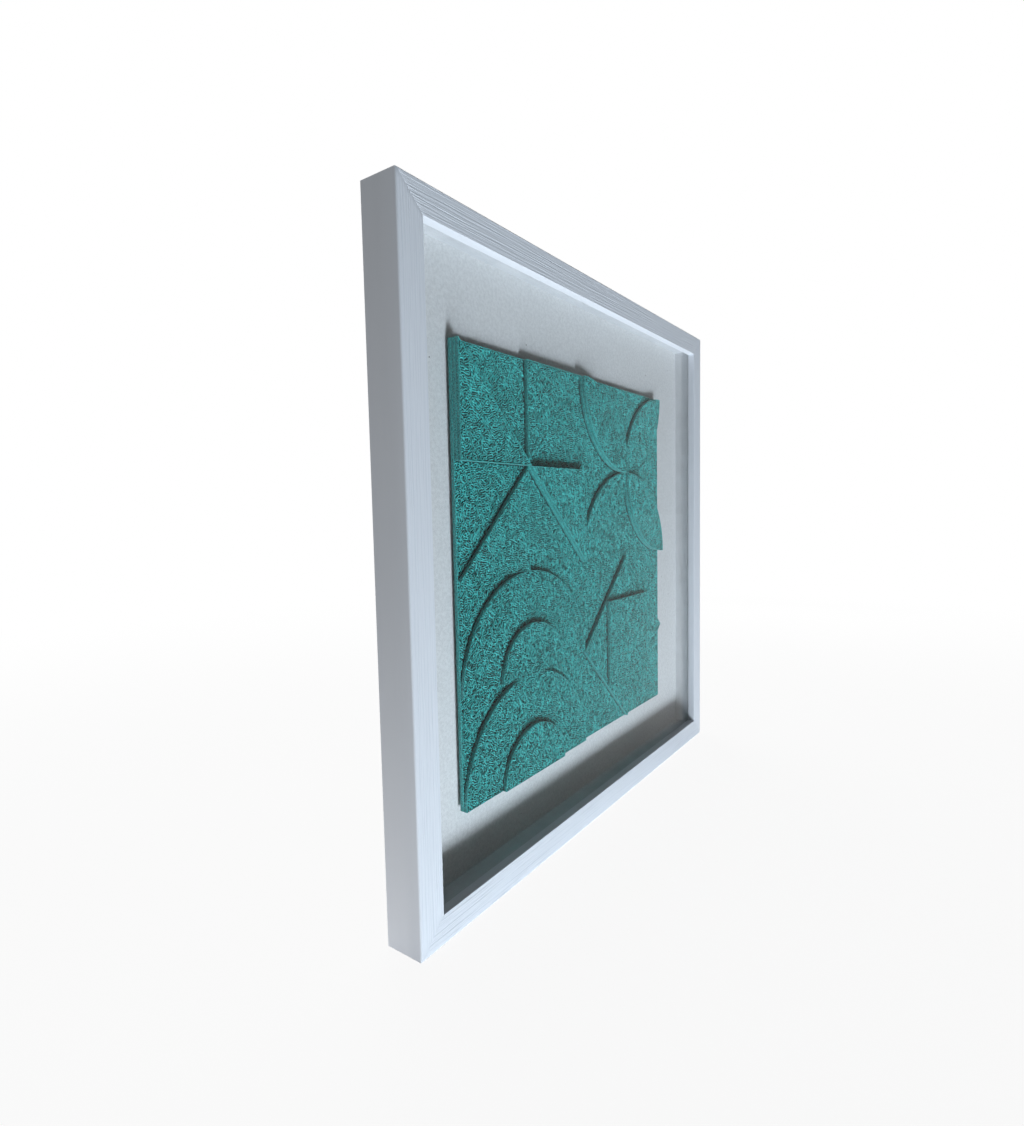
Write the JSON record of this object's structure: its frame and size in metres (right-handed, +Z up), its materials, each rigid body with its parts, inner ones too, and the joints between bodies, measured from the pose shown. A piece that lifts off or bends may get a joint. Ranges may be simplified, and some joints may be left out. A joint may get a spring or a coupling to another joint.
{
  "type": "framed quilled paper art",
  "caption": "Square shadow-box frame with combed white rails, a glass front and a floated teal relief of stacked quilled paper layers.",
  "frame": {"origin": "middle of the bottom of the part's box: centred left to right and front to back, on the surface that the bottom rail stands on", "axes": "+X to the viewer's right, +Y from the glass front into the wall, +Z up"},
  "size_m": [0.53, 0.0364, 0.53],
  "materials": {
    "white_wood": "white paint combed along the grain, satin",
    "glass": "clear picture glass, polished",
    "spacer_board": "pale grey board, matt",
    "mount_board": "pale grey fibrous board, matt",
    "hardboard": "brown pressed fibre board, smooth side out",
    "tab_steel": "zinc plated",
    "hanger_brass": "brass plated, worn at the teeth",
    "bumper_rubber": "grey translucent rubber, satin",
    "float_foam_board": "white foam-cored board, matt",
    "teal_paper": "teal paper strips on edge, matt, crimped"
  },
  "bodies": {
    "root": {"rail_top": "white_wood", "rail_bottom": "white_wood", "rail_left": "white_wood", "rail_right": "white_wood", "glass_pane": "glass", "spacer_top": "spacer_board", "spacer_bottom": "spacer_board", "spacer_left": "spacer_board", "spacer_right": "spacer_board", "mount_board": "mount_board", "back_board": "hardboard", "back_board_tabs": "tab_steel", "corner_nails": "tab_steel", "sawtooth_hanger": "hanger_brass", "hanger_screws": "hanger_brass", "wall_bumpers": "bumper_rubber", "relief_float_mount": "float_foam_board", "relief_base": "teal_paper", "pinwheel_blade_1": "teal_paper", "pinwheel_blade_2": "teal_paper", "pinwheel_blade_3": "teal_paper", "pinwheel_blade_4": "teal_paper", "pinwheel_cap_1": "teal_paper", "pinwheel_cap_3": "teal_paper", "petal_1": "teal_paper", "petal_2": "teal_paper", "petal_3": "teal_paper", "petal_4": "teal_paper", "petal_cap_1": "teal_paper", "petal_cap_3": "teal_paper", "half_round_upper": "teal_paper", "half_round_lower": "teal_paper", "half_round_cap_upper": "teal_paper", "half_round_cap_lower": "teal_paper", "diamond": "teal_paper", "diamond_cap": "teal_paper"}
  },
  "joints": []
}
